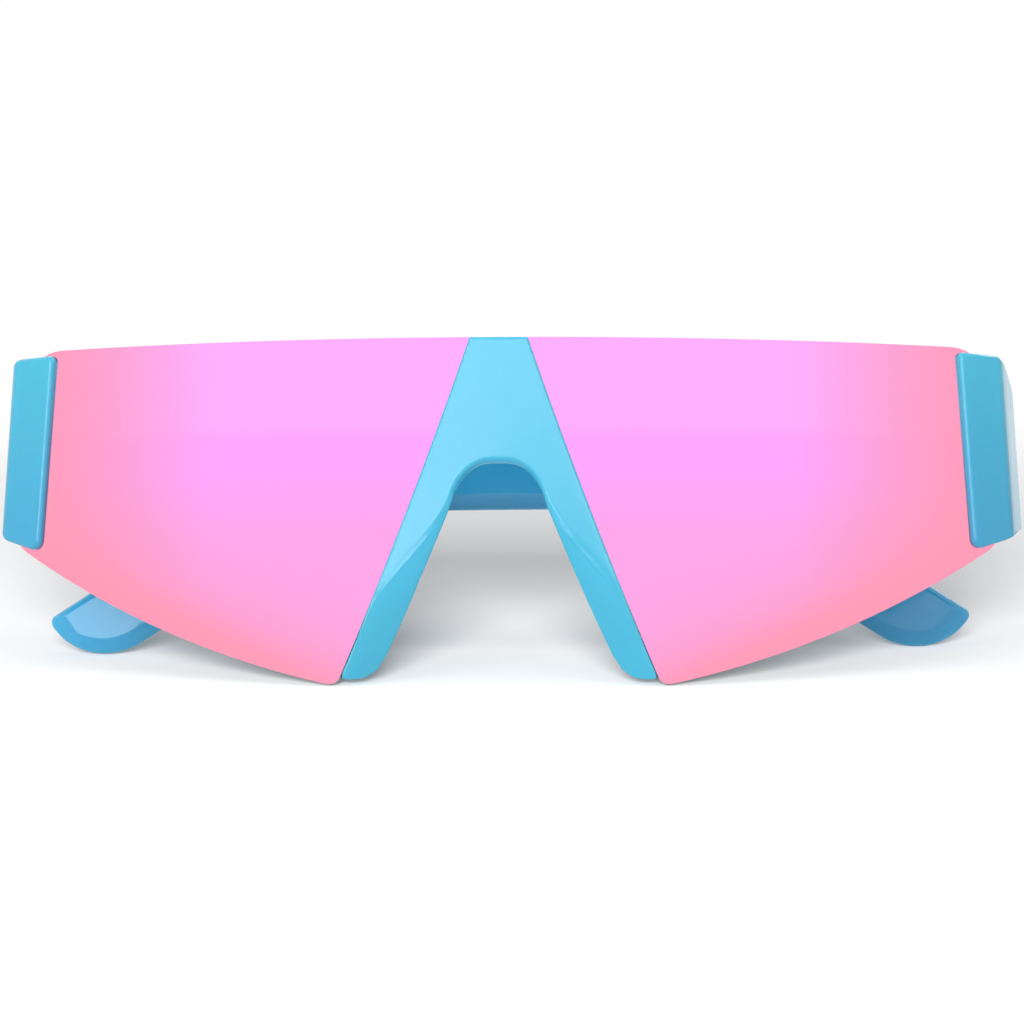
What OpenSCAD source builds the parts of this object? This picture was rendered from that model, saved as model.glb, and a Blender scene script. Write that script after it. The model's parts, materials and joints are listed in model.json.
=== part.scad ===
// Shield sunglasses with two mirrored lens panels, standing folded on their lens bottoms and temple tips.
// Drawn as worn (X to the wearer's left, Y to the back, Z up, origin at the top middle of the lens front),
// then leaned back on the surface they stand on. Left and right are the wearer's.

/* [Lens] */
// Radius of the lens front, seen from above
lens_r = 142; // [125:1:170]
// Thickness of a lens panel
lens_t = 1.8; // [1.4:0.1:2.4]
// Height of the front from its flat top to the inner lens corner
lens_h = 50.5; // [46:0.2:54]
// Height of a lens panel at its outer end
lens_end_h = 28.8; // [26:0.2:31]
// How far the lower lens edge bows out of a straight line
lens_low_bow = 2.7; // [0:0.1:4]
// Rounding of the inner lower lens corner
lens_corner_r = 1.8; // [1:0.1:3]
// Rounding of the outer upper lens corner
lens_end_top_r = 6; // [3:0.5:8]
// Rounding of the outer lower lens corner
lens_end_low_r = 4; // [2:0.5:6]

/* [Bridge] */
// Width of the bridge at the top edge
bridge_top_w = 8.4; // [6:0.2:12]
// Width over both legs at the bottom
bridge_low_w = 47.2; // [42:0.5:52]
// How far the bridge's sides bow in
bridge_bow = 0.5; // [0:0.1:1.5]
// How far the bridge stands out of the lens front
bridge_proud = 0.3; // [0.1:0.05:0.8]
// Depth of the bridge behind the lens front
bridge_depth = 5.6; // [4.5:0.1:7]
// Height of solid bridge above the nose arch
arch_drop = 18.3; // [14:0.1:20]
// Radius of the two corners of the nose arch
arch_r = 5.9; // [5:0.1:7]
// Width of the flat top of the arch between its corners
arch_flat = 2.4; // [1:0.1:4]
// Width of the chamfer round the arch's front edge
arch_edge_w = 0.6; // [0.3:0.1:1]
// Width of each leg at its foot
foot_w = 6.6; // [5.6:0.1:7.6]
// Rounding under each leg
foot_r = 6.5; // [4:0.25:7]
// Rounding of the legs' outer lower corners
foot_edge_r = 0.6; // [0.3:0.1:1]
// How far the bridge reaches behind the lens edges
flange_w = 2.6; // [2:0.1:3.5]
// Slope of the bevel that sweeps back from each leg's front, in degrees
leg_bevel_angle = 24; // [16:1:34]
// Depth of the nose pads behind the lens front
pad_depth = 12; // [9:0.25:14]
// Thickness of a nose pad
pad_t = 3; // [2.4:0.1:4]
// Splay of the nose pads, in degrees
pad_splay = 14; // [8:1:20]

/* [Brow bar and lugs] */
// Height of the brow bar
brow_h = 5.2; // [4:0.2:7]
// Depth of the brow bar behind the lens
brow_t = 3; // [2.4:0.1:4]
// How far the brow bar stays below the lens top
brow_drop = 1.1; // [0.8:0.1:1.5]
// Width over both lugs at the hinges
front_w = 154.8; // [146:0.4:162]
// Distance from the end block back to the hinge pins
lug_run = 17.5; // [15:0.25:21]
// Wall of the lug beside the hinge
lug_t = 3.6; // [3.2:0.1:4.2]
// Outward flare of the lug's side, in degrees
lug_flare = 8.8; // [7:0.2:10]
// Outward lean of the lug's side from top to bottom, in degrees
lug_lean = 3.4; // [0:0.2:4]
// Rounding of the lug's lower rear corner
lug_low_r = 1.2; // [0.8:0.1:2]
// Rounding of the lug's upper rear corner
lug_top_r = 0.8; // [0.5:0.1:1.5]

/* [End block] */
// Width of the block's face
block_w = 7.3; // [6.5:0.1:8.5]
// How far the block stands out of the lens front
block_proud = 1.4; // [1:0.1:2]
// Height of the block's inner edge
block_h = 29.4; // [28:0.25:31]
// Slant of the block's inner edge, in degrees
block_slant = 4.9; // [2:0.1:7]
// Rise of the block's lower edge towards its outer side
block_rise = 2.2; // [0:0.1:3]
// Rounding of the block's front edges
block_edge_r = 0.7; // [0.4:0.1:1]
// Wall of the block outside the lens end
block_wall = 1.9; // [1.6:0.1:2.6]
// Diameter of the two pegs behind each block
peg_d = 2; // [1.6:0.1:2.4]
// Distance between the two pegs
peg_pitch = 14; // [12:0.5:15]
// Depth of the pegs in the lug
peg_sink = 2.1; // [1.6:0.1:2.4]

/* [Temple] */
// Length of a temple from the hinge pin to its tip, along its middle line
temple_len = 148; // [140:1:152]
// Straight length from the hinge pin to the bend
temple_straight = 82.5; // [76:0.5:88]
// Radius of the bend
hook_bend_r = 45; // [38:1:52]
// Drop of the hooked end, in degrees
hook_angle = 33; // [28:0.5:36]
// Height of the temple at the hinge
temple_root_h = 21; // [19:0.25:22]
// Height of the temple halfway along
temple_mid_h = 14.8; // [13:0.2:17]
// Height of the narrowest place, after the bend
temple_waist_h = 10; // [9:0.1:11]
// Height of the hooked tip
temple_tip_h = 10.6; // [9.5:0.1:11.5]
// Thickness at the hinge
temple_root_t = 3.3; // [3:0.1:3.6]
// Thickness at the tip
temple_tip_t = 2.8; // [2.4:0.1:3]
// Width of the lower bevel on the inner face
temple_bevel_w = 2.2; // [1.4:0.1:2.6]
// Width of the upper bevel on the inner face
temple_bevel_top_w = 1; // [0.6:0.1:2]
// Depth of the bevels on the inner face
temple_bevel_d = 1.3; // [0.8:0.1:1.6]
// Rounding along the outer face
temple_edge_r = 0.7; // [0.4:0.1:0.9]
// Rounding of the upper tip corner
tip_corner_r = 1.2; // [0.8:0.1:2]
// Length of the rounding under the tip
tip_round_len = 10.2; // [8:0.1:12]
// Height of the rounding under the tip
tip_round_h = 9.5; // [7:0.1:9.7]

/* [Hinge] */
// Diameter of the knuckles
knuckle_d = 2.9; // [2.6:0.1:3.2]
// Height of all five knuckles together
hinge_h = 6.4; // [5.5:0.1:7.5]
// Diameter of the hinge screw
screw_d = 1.4; // [1.2:0.05:1.5]
// Diameter of the screw's head
screw_head_d = 2.4; // [2:0.1:2.6]
// Height of the screw's head
screw_head_h = 0.7; // [0.5:0.05:0.9]
// Thickness of a hinge leaf
leaf_t = 1.1; // [0.9:0.05:1.2]
// Length of a hinge leaf from the pin
leaf_len = 8.5; // [7.5:0.25:10]
// How deep a leaf is sunk in the plastic
leaf_sink = 0.5; // [0.4:0.05:0.6]
// Length of the studs that hold a leaf in the plastic
stud_len = 1.6; // [1.2:0.1:1.8]
// Diameter of those studs
stud_d = 1.6; // [1.2:0.1:1.8]

/* [Folded pose] */
// How far the left temple lies past parallel, in degrees
fold_past = 2.2; // [1.9:0.1:2.6]
// How far the right temple stays short of parallel, in degrees
fold_short = 1.4; // [1.3:0.05:1.6]
// How far play in the right hinge lifts its folded temple, in degrees
right_lift = 0.56; // [0:0.02:0.7]

/* [Hidden] */

// Overrun of every cut past the face that it opens
over = 1;
// Glue line between pieces that are bonded
glue = 0.05;
// Play of the screw in its knuckles, at the radius
pin_play = 0.05;
// Gap between neighbouring knuckles
knuckle_gap = 0.1;
// Gap between the lug and the open temple
butt_gap = 0.3;
// Room round the knuckles in the plastic
knuckle_room = 0.35;
// Gap between a hinge leaf's plate and the other leaf's knuckles
leaf_gap = 0.5;
// How far the feet end above the lowest point of the lenses
foot_rise = 0.7;
// A temple turned by this angle lies parallel to the front
quarter_turn = 90;
// Facets of round pieces and of long curves
$fn = 48;
lens_fn = 360;
curve_n = 12;
corner_n = 6;

frame_blue = [0.28, 0.68, 0.86];
mirror_pink = [1.0, 0.62, 0.85];
hinge_steel = [0.72, 0.73, 0.75];

// Helpers for outlines
function mix(a, b, t) = a + (b - a) * t;
function unit(v) = v / norm(v);
function arc(c, r, a0, a1, n) = [for (i = [0 : n]) let (a = mix(a0, a1, i / n)) c + r * [cos(a), sin(a)]];
// A line from p to q that bows out by a given amount to its right-hand side
function bowed(p, q, bow, n) =
    let (d = unit(q - p), side = [d[1], -d[0]])
    [for (i = [0 : n]) let (t = i / n) mix(p, q, t) + side * 4 * bow * t * (1 - t)];
// The arc that rounds corner b between a and c
function corner(a, b, c, r, n) =
    let (u = unit(a - b), v = unit(c - b), half = acos(u * v) / 2, reach = r / tan(half),
         m = b + unit(u + v) * r / sin(half), p = b + u * reach, q = b + v * reach,
         a0 = atan2(p[1] - m[1], p[0] - m[0]), a1 = atan2(q[1] - m[1], q[0] - m[0]),
         turn = (a1 - a0 + 540) % 360 - 180)
    arc(m, r, a0, a0 + turn, n);
// The polygon with each corner rounded by its own radius, a radius of zero keeping the point
function rounded(pts, radii, n) = [
    for (i = [0 : len(pts) - 1])
        let (k = len(pts))
        each (radii[i] > 0 ? corner(pts[(i + k - 1) % k], pts[i], pts[(i + 1) % k], radii[i], n) : [pts[i]])
];
// Smooth value through a list of [place, value] knots
function slope(k, i) =
    let (a = max(i - 1, 0), b = min(i + 1, len(k) - 1)) (k[b][1] - k[a][1]) / (k[b][0] - k[a][0]);
function through(k, x, i = 0) =
    i < len(k) - 2 && x > k[i + 1][0] ? through(k, x, i + 1) :
    let (w = k[i + 1][0] - k[i][0], t = min(max((x - k[i][0]) / w, 0), 1), t2 = t * t, t3 = t2 * t)
    k[i][1] * (2 * t3 - 3 * t2 + 1) + slope(k, i) * w * (t3 - 2 * t2 + t)
        + k[i + 1][1] * (3 * t2 - 2 * t3) + slope(k, i + 1) * w * (t3 - t2);

// Skin of a loft through rings of equal count, closed at both ends
module loft(rings) {
    n = len(rings[0]);
    m = len(rings);
    sides = [for (i = [0 : m - 2], j = [0 : n - 1])
        each [[i * n + j, i * n + (j + 1) % n, (i + 1) * n + (j + 1) % n],
              [i * n + j, (i + 1) * n + (j + 1) % n, (i + 1) * n + j]]];
    first = [for (j = [1 : n - 2]) [0, j + 1, j]];
    last = [for (j = [1 : n - 2]) [(m - 1) * n, (m - 1) * n + j, (m - 1) * n + j + 1]];
    polyhedron(points = [for (r = rings) each r], faces = concat(sides, first, last), convexity = 6);
}

// Depth of the lens front behind its middle, at a distance x to the side
function sag(x, r) = lens_r - sqrt(r * r - x * x);
lens_back_r = lens_r - lens_t;
seat_r = lens_back_r - glue;

// Places along the lens, seen from the front
lug_drop_share = 0.75;
block_drop_share = 0.7;
lug_mid_z = -lens_end_h / 2 - brow_drop * lug_drop_share;
block_shift = block_h * tan(block_slant);
block_top = -brow_drop * block_drop_share;
lug_front_x = front_w / 2 - lug_run * tan(lug_flare);
side_angle = asin((lug_front_x - block_w / 2) / lens_r);
block_mid = [lens_r * sin(side_angle), sag(lens_r * sin(side_angle), lens_r)];
hinge_back = block_mid[1] + lug_run;

// The bridge's side, from the top to the bottom of the front
bridge_side = bowed([bridge_low_w / 2, -lens_h], [bridge_top_w / 2, 0], -bridge_bow, curve_n);
bridge_half_low = bridge_low_w / 2;

// Outline of the left lens in front view, counter-clockwise from the bridge's top
lens_end_x = lug_front_x + lug_mid_z * tan(lug_lean) - block_wall;
lens_end_low_x = lens_end_x + lens_end_h * tan(lug_lean);
lens_low_edge = bowed([bridge_half_low, -lens_h], [lens_end_low_x, -lens_end_h], lens_low_bow, curve_n);
lens_inner_corner = corner(bridge_side[1], [bridge_half_low, -lens_h], lens_low_edge[1], lens_corner_r, corner_n);
lens_outer_low = corner(lens_low_edge[curve_n - 2], [lens_end_low_x, -lens_end_h], [lens_end_x, 0],
    lens_end_low_r, corner_n);
lens_outer_top = corner([lens_end_low_x, -lens_end_h], [lens_end_x, 0], [0, 0], lens_end_top_r, corner_n);
lens_low_z = min([for (p = lens_inner_corner) p[1]]);
lens_outline = concat(
    lens_inner_corner,
    [for (i = [1 : curve_n - 2]) lens_low_edge[i]],
    lens_outer_low,
    lens_outer_top,
    [for (i = [0 : curve_n - 1]) bridge_side[curve_n - i]]
);

// Stations of the temple: heights at shares of its length
height_shares = [0, 0.17, 0.4, 0.5, 0.58, 0.78, 0.91, 1];
temple_shoulder_h = mix(temple_root_h, temple_mid_h, 0.5);
heights = [temple_root_h, temple_shoulder_h, temple_mid_h, temple_mid_h, temple_mid_h,
    temple_waist_h, temple_tip_h, temple_tip_h];
height_knots = [for (i = [0 : len(heights) - 1]) [height_shares[i] * temple_len, heights[i] / 2]];
hook_arc_len = hook_bend_r * hook_angle * PI / 180;
hook_start = temple_straight + hook_arc_len;
hook_dir = [cos(hook_angle), -sin(hook_angle)];
hook_foot = [temple_straight + hook_bend_r * sin(hook_angle), hook_bend_r * (cos(hook_angle) - 1)];
function mid_turn(s) = min(max((s - temple_straight) / hook_arc_len, 0), 1) * hook_angle;
function mid_point(s) =
    s <= temple_straight ? [s, 0] :
    s >= hook_start ? hook_foot + (s - hook_start) * hook_dir :
    let (a = mid_turn(s)) [temple_straight + hook_bend_r * sin(a), hook_bend_r * (cos(a) - 1)];
// How much a rounding of length r and height h takes off an edge at distance d from the tip
steepest_share = 0.04;
function trim(d, r, h) = d < r ? h * (1 - sqrt(max(1 - pow((r - d) / r, 2), 0))) : 0;
// How much wider a bevel measures across the temple where that rounding turns
function spread(d, r) = d < r ? 1 / sqrt(max(1 - pow((r - d) / r, 2), steepest_share)) : 1;
function temple_thick(s) = mix(temple_root_t, temple_tip_t, s / temple_len);

// One ring of the temple at distance s along it: [outward, along, up] from the inner face at the pin
bevel_shares = [[0, 1], [0.14, 0.72], [0.36, 0.42], [0.64, 0.17], [1, 0]];
edge_steps = [0, 30, 60, 90];
bevel_most_share = 0.45;
edge_most_share = 0.4;
function temple_ring(s) =
    let (d = temple_len - s, c = mid_point(s), a = mid_turn(s), up = [sin(a), cos(a)],
         half = through(height_knots, s),
         top = half - trim(d, tip_corner_r, tip_corner_r), low = half - trim(d, tip_round_len, tip_round_h),
         tall = top + low,
         t = temple_thick(s), near = min(d / temple_bevel_w, 1),
         sink = temple_bevel_d * pow(1 - near, 2),
         bt = min(temple_bevel_top_w * spread(d, tip_corner_r), tall * bevel_most_share),
         bl = min(temple_bevel_w * spread(d, tip_round_len), tall * bevel_most_share),
         er = min(temple_edge_r, tall * edge_most_share),
         lean_out = tan(lug_lean) / 2 * (1 - min(s / (temple_straight / 2), 1)),
         profile = concat(
             [for (b = bevel_shares) [max(sink, temple_bevel_d * b[0]), top - bt * b[1]]],
             [for (e = edge_steps) [t - er * (1 - sin(e)), top - er * (1 - cos(e))]],
             [for (i = [len(edge_steps) - 1 : -1 : 0]) let (e = edge_steps[i])
                 [t - er * (1 - sin(e)), -low + er * (1 - cos(e))]],
             [for (i = [len(bevel_shares) - 1 : -1 : 0]) let (b = bevel_shares[i])
                 [max(sink, temple_bevel_d * b[0]), -low + bl * b[1]]]))
    [for (p = profile) let (q = c + p[1] * up)
        [p[0] - (p[0] > t / 2 ? lean_out * p[1] : 0), q[0], q[1]]];

tip_end_share = 0.01;
tip_steps = [for (i = [0 : curve_n]) tip_round_len * (1 - sin(quarter_turn * i / curve_n))];
temple_stations = concat(
    [butt_gap / 2],
    [for (i = [1 : curve_n - 2]) temple_straight * i / (curve_n - 2)],
    [for (i = [1 : curve_n]) temple_straight + hook_arc_len * i / curve_n],
    [for (i = [1 : 3]) mix(hook_start, temple_len - tip_round_len, i / 4)],
    [for (d = tip_steps) temple_len - max(d, tip_corner_r * tip_end_share)]
);
temple_rings = [for (s = temple_stations) temple_ring(s)];

// Hinge places
inner_face = front_w / 2 - lug_t;
pin_in_share = 0.25;
pin_inset = knuckle_d / 2 - knuckle_room * pin_in_share;
pin_x = inner_face - pin_inset;
knuckle_h = (hinge_h - 4 * knuckle_gap) / 5;
knuckle_step = knuckle_h + knuckle_gap;
leaf_start = knuckle_d / 2 + leaf_gap;
leaf_low = leaf_sink - leaf_t;
fold_left = quarter_turn + fold_past;
fold_right = quarter_turn - fold_short;

module standing() {
    translate([0, -mid_y, lift]) rotate([-lean, 0, 0]) children();
}
module both_sides(side) {
    if (side > 0) children(); else mirror([1, 0, 0]) children();
}
function tilt_of(side) = side > 0 ? 0 : right_lift;
module on_temple(side) {
    translate([pin_x, hinge_back, lug_mid_z]) rotate([0, tilt_of(side), 0])
        rotate([0, 0, side > 0 ? fold_left : fold_right]) translate([pin_inset, 0, 0]) children();
}
module on_lug(side) {
    translate([pin_x, hinge_back, lug_mid_z]) rotate([0, tilt_of(side), 0])
        translate([pin_inset, 0, 0]) children();
}

// A front view outline as a prism through the whole depth of the front
module prism(points, depth) {
    translate([0, depth, 0]) rotate([90, 0, 0]) linear_extrude(depth + over) polygon(points);
}
// A side view outline, given as [back, up], as a prism over a given width
module side_prism(points, x0, x1) {
    translate([x0, 0, 0]) rotate([90, 0, 90]) linear_extrude(x1 - x0) polygon(points);
}
// The wall between two radii about the lens's axis
module shell(outer, inner, z_low, z_high) {
    translate([0, lens_r, z_low]) difference() {
        cylinder(r = outer, h = z_high - z_low, $fn = lens_fn);
        translate([0, 0, -over]) cylinder(r = inner, h = z_high - z_low + 2 * over, $fn = lens_fn);
    }
}

// Lens panel, with two holes for the block's pegs
module lens() {
    difference() {
        intersection() {
            shell(lens_r, lens_back_r, -lens_h - over, over);
            prism([for (p = lens_outline) p + [glue, 0]], hinge_back);
        }
        peg_places() peg(peg_d / 2 + glue, over, lens_t + over);
    }
}

// Local frame on the lens under the block: first axis along the lens, second out of it, third up
module at_block() {
    translate([block_mid[0], block_mid[1], 0]) rotate([0, 0, side_angle]) children();
}
peg_shares = [-0.5, 0.5];
peg_in_share = 0.1;
peg_mid_z = -block_h / 2;
module peg_places() {
    for (k = peg_shares)
        at_block() translate([-block_w * peg_in_share - k * block_shift / 2, 0, peg_mid_z + k * peg_pitch])
            children();
}
module peg(r, outward, inward) {
    translate([0, -outward, 0]) rotate([-90, 0, 0]) cylinder(r = r, h = outward + inward);
}

// Everything inward of the lug's outer side
side_big = front_w;
module inside_lug_face(shift) {
    translate([lug_front_x + shift, block_mid[1], lug_mid_z]) rotate([0, -lug_lean, -lug_flare])
        translate([-side_big, -side_big / 2, -side_big / 2]) cube(side_big);
}

// The top edge falls outwards by this share of the rise of the lower edge
block_fall_share = 0.12;
// Corner roundings of the block as shares of its edge rounding, inner top corner first
block_corner_shares = [1.2, 2, 0, 0];
block_inset_share = 0.4;
// Block outline on the lens, inset by d all round except at the outer side, which the lug's face cuts
function block_outline(d) =
    let (top_in = [-(block_w + block_shift) / 2, block_top],
         low_in = [-(block_w - block_shift) / 2, block_top - block_h],
         out = block_w * 2, rise = block_rise * out / block_w, fall = rise * block_fall_share)
    rounded([
        top_in + [d, -d],
        low_in + [d, d],
        [low_in[0] + out, low_in[1] + rise + d],
        [top_in[0] + out, top_in[1] - fall - d]
    ], [for (k = block_corner_shares) max(block_edge_r * k - d * block_inset_share, 0)], 4);
module block_slice(outward, d, thick) {
    intersection() {
        at_block() translate([0, thick - outward, 0]) rotate([90, 0, 0])
            linear_extrude(thick) polygon(block_outline(d));
        inside_lug_face(-d);
    }
}
edge_shares = [[0, 1], [0.3, 0.42], [0.62, 0.12], [1, 0]];

module end_block() {
    difference() {
        intersection() {
            union() {
                hull() for (e = edge_shares)
                    block_slice(block_proud - block_edge_r * e[0], block_edge_r * e[1], glue);
                block_slice(block_proud - block_edge_r, 0, block_proud + lens_t + over);
            }
            shell(lens_r * 2, seat_r + glue, -lens_h, over);
        }
        // Bed of the lens
        intersection() {
            translate([0, lens_r, -lens_h - over]) cylinder(r = lens_r + glue, h = lens_h + 2 * over, $fn = lens_fn);
            prism(lens_bed, hinge_back * 2);
        }
    }
    peg_places() peg(peg_d / 2, block_proud / 2, lens_t + peg_sink);
}
lens_bed = [
    [0, -lens_h],
    [lens_end_low_x + glue * 2, -lens_h],
    [lens_end_low_x + glue * 2, -lens_end_h],
    [lens_end_x + glue * 2, 0],
    [lens_end_x + glue * 2, lens_h / 10],
    [0, lens_h / 10]
];

// Front frame
lug_seat_t = brow_t;
lug_top = -brow_drop;
lug_low = block_top - block_h + block_rise;
lug_back = hinge_back - butt_gap / 2;
lug_root_top = lug_mid_z + temple_root_h / 2;
lug_root_low = lug_mid_z - temple_root_h / 2;
lug_start = block_mid[1] - block_w;
shoulder_share = 0.65;
lug_shoulder = [mix(block_mid[1], lug_back, shoulder_share), (lug_top + lug_root_top) / 2];
lug_side = concat(
    [[lug_start, lug_top], [lug_start, lug_low], [block_mid[1], lug_low]],
    corner([block_mid[1], lug_low], [lug_back, lug_root_low], [lug_back, lug_mid_z], lug_low_r, 4),
    corner([lug_back, lug_mid_z], [lug_back, lug_root_top], lug_shoulder, lug_top_r, 4),
    [lug_shoulder, [block_mid[1], lug_top]]
);
// The lug's wall from above: flat beside the hinge leaf, then thicker towards the lens
lug_flat_y = hinge_back - leaf_len - leaf_sink;
swell_share = 0.6;
lug_swell = lug_t * swell_share;
lug_plan = [
    [inner_face, lug_back],
    [inner_face, lug_flat_y],
    [inner_face - lug_swell, lug_flat_y - lug_t],
    [inner_face - lug_swell, block_mid[1] - block_w],
    [front_w, block_mid[1] - block_w],
    [front_w, lug_back]
];
seat_share = 0.65;
module lug() {
    difference() {
        intersection() {
            inside_lug_face(0);
            side_prism(lug_side, 0, front_w);
            union() {
                // Seat behind the lens end
                intersection() {
                    shell(seat_r, seat_r - lug_seat_t, -lens_h, over);
                    at_block() translate([-block_w * seat_share, -over, -lens_h])
                        cube([front_w, front_w, lens_h + over]);
                }
                // Side wall back to the hinge
                intersection() {
                    translate([0, lens_r, -lens_h]) cylinder(r = seat_r, h = lens_h + over, $fn = lens_fn);
                    translate([0, 0, -lens_h]) linear_extrude(lens_h + over) polygon(lug_plan);
                }
            }
        }
        peg_places() peg(peg_d / 2 + glue, 0, lens_t + peg_sink + glue);
    }
}

// Front view outline of the bridge between its sides, open below over the arch
arch_mid_z = -arch_drop - arch_r;
foot_z = lens_low_z + foot_rise;
side_table = [for (p = bridge_side) [p[1], p[0]]];
function bridge_half(z) = lookup(z, side_table);
// The leg's inner edge leaves the arch as its tangent and ends at the foot's width
leg_end = [bridge_half(foot_z) - foot_w, foot_z];
arch_corner = [arch_flat / 2, arch_mid_z];
leg_reach = leg_end - arch_corner;
leg_angle = atan2(leg_reach[0], -leg_reach[1]) - asin(arch_r / norm(leg_reach));
leg_start = arch_corner + arch_r * [cos(leg_angle), sin(leg_angle)];
leg_len = norm(leg_end - leg_start);
function leg_inner(z) = leg_start[0] + (leg_start[1] - z) * tan(leg_angle);
// The outline keeps inside the arch, which its own cut opens to the full radius
core_share = 0.92;
arch_edge = concat([leg_start], [for (i = [1 : corner_n - 1]) let (a = mix(leg_angle, quarter_turn, i / corner_n))
    arch_corner + arch_r * core_share * [cos(a), sin(a)]]);
half_bridge = concat(
    [for (i = [0 : curve_n - 1]) let (z = mix(0, foot_z, i / curve_n)) [bridge_half(z), z]],
    corner([bridge_half(foot_z + foot_r), foot_z + foot_r], [bridge_half(foot_z), foot_z], leg_end, foot_edge_r, 4),
    corner([bridge_half(foot_z), foot_z], leg_end, leg_start, foot_r, corner_n),
    arch_edge
);
function mirrored(pts) = [for (i = [len(pts) - 1 : -1 : 0]) [-pts[i][0], pts[i][1]]];
bridge_outline = concat(half_bridge, mirrored(half_bridge));
// The rear part of the bridge is wider and carries the lens edges
flange_low_share = 0.4;
flange_end_z = foot_z + foot_edge_r;
flange_out = [bridge_half(flange_end_z) + flange_w * flange_low_share, flange_end_z];
flange_in = leg_end + [0, foot_edge_r];
half_flange = concat(
    [for (i = [0 : curve_n]) let (z = mix(-brow_drop, foot_z + foot_r, i / curve_n)) [bridge_half(z) + flange_w, z]],
    corner([bridge_half(foot_z + foot_r) + flange_w, foot_z + foot_r], flange_out, flange_in, foot_edge_r, 4),
    corner(flange_out, flange_in, leg_start, foot_r, corner_n),
    arch_edge
);
flange_outline = concat(half_flange, mirrored(half_flange));

// A point of a temple's drawing, placed where the folded temple puts it
function folded(q, fold, tilt) =
    let (a = q[0] + pin_inset, x = a * cos(fold) - q[1] * sin(fold), y = a * sin(fold) + q[1] * cos(fold))
    [pin_x + x * cos(tilt) + q[2] * sin(tilt), hinge_back + y, lug_mid_z - x * sin(tilt) + q[2] * cos(tilt)];
left_points = [for (r = temple_rings, q = r) folded(q, fold_left, 0)];
right_points = [for (r = temple_rings, q = r) folded(q, fold_right, right_lift)];
temple_points = concat(left_points, right_points);

// Stand: the lean at which the front's lower edge and the temple tips touch one level
front_points = [for (p = lens_outline, r = [lens_r, lens_back_r])
    [p[0], lens_r - sqrt(r * r - p[0] * p[0]), p[1]]];
frame_points = [for (p = half_bridge, r = [lens_r + bridge_proud, lens_r - bridge_depth])
    [p[0], lens_r - sqrt(r * r - p[0] * p[0]), p[1]]];
function level(p, a) = p[2] * cos(a) - p[1] * sin(a);
function back(p, a) = p[1] * cos(a) + p[2] * sin(a);
function lowest(points, a) = let (v = [for (p = points) level(p, a)], m = min(v)) points[search(m, v)[0]];
function settled(a, n) = n == 0 ? a :
    let (t = lowest(temple_points, a), f = lowest(concat(front_points, frame_points), a))
    settled(atan2(t[2] - f[2], t[1] - f[1]), n - 1);
lean = settled(fold_past, 6);
lift = -min([for (p = concat(temple_points, front_points, frame_points)) level(p, lean)]);
front_y = min([for (p = front_points) back(p, lean)]);
back_y = max([for (p = temple_points) back(p, lean)]);
mid_y = (front_y + back_y) / 2;

module bridge() {
    intersection() {
        shell(lens_r + bridge_proud, lens_r - bridge_depth, -lens_h, over);
        prism(bridge_outline, hinge_back);
    }
    intersection() {
        shell(seat_r, lens_r - bridge_depth, -lens_h, over);
        prism(flange_outline, hinge_back);
    }
}
// Frame of the leg's inner edge: down the leg, back along the splay, outward
module at_leg() {
    translate([leg_start[0], 0, leg_start[1]]) rotate([0, quarter_turn - leg_angle, 0])
        rotate([pad_splay, 0, 0]) children();
}
// Nose pad: a plate along the leg, splayed outwards, that swells back and fades out again
pad_front = bridge_depth / 2;
pad_start_share = 0.2;
pad_start = pad_t * pad_start_share;
pad_end = leg_len - foot_r * tan((quarter_turn - leg_angle) / 2);
// Depth of the pad down the leg, as shares of its length and of its full depth
pad_shares = [[0, 0.4], [0.35, 0.66], [0.75, 1], [0.92, 0.88], [1, 0.6]];
pad_knots = [for (p = pad_shares) [p[0], p[1] * pad_depth]];
pad_side = concat(
    [[pad_end, pad_front], [pad_start, pad_front]],
    [for (i = [0 : curve_n * 2]) let (t = i / curve_n / 2) [mix(pad_start, pad_end, t), through(pad_knots, t)]]
);
module nose_pad() {
    at_leg() linear_extrude(pad_t) polygon(pad_side);
}
// The legs' inner sides follow the splay of the pads
module leg_splay() {
    at_leg() translate([0, 0, -pad_t]) cube([lens_h, lens_h, pad_t]);
}
// The arch has a chamfered front edge and widens to the back by the same splay
arch_profile = [
    [0, -over],
    [arch_r + arch_edge_w + over - bridge_proud, -over],
    [arch_r, arch_edge_w - bridge_proud],
    [arch_r, arch_edge_w * 2],
    [arch_r + pad_depth * tan(pad_splay), pad_depth],
    [0, pad_depth]
];
module arch() {
    translate([0, 0, arch_mid_z]) {
        for (side = [-1, 1])
            translate([side * arch_flat / 2, 0, 0]) rotate([-90, 0, 0]) rotate_extrude() polygon(arch_profile);
        side_prism([for (p = arch_profile) [p[1], p[0]]], -arch_flat / 2, arch_flat / 2);
    }
}
// Bevel that sweeps back across the leg's front, from the arch to the foot
bevel_start_share = 0.1;
bevel_end_share = 0.775;
bevel_start_z = arch_mid_z - arch_r * bevel_start_share;
bevel_from = [leg_inner(bevel_start_z), bevel_start_z];
bevel_to = [bridge_half(-lens_h * bevel_end_share), -lens_h * bevel_end_share];
bevel_turn = atan2(bevel_to[1] - bevel_from[1], bevel_to[0] - bevel_from[0]);
bevel_sink = atan2(sag(bevel_to[0], lens_r) - sag(bevel_from[0], lens_r), norm(bevel_to - bevel_from));
module leg_bevel() {
    intersection() {
        translate([bevel_from[0], sag(bevel_from[0], lens_r) - bridge_proud, bevel_from[1]])
            rotate([0, -bevel_turn, 0]) rotate([0, 0, bevel_sink]) rotate([leg_bevel_angle, 0, 0])
                translate([-lens_h, -lens_h, -lens_h]) cube([2 * lens_h, lens_h, lens_h]);
        translate([arch_r / 2, -lens_h, -2 * lens_h]) cube(2 * lens_h);
    }
}
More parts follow.
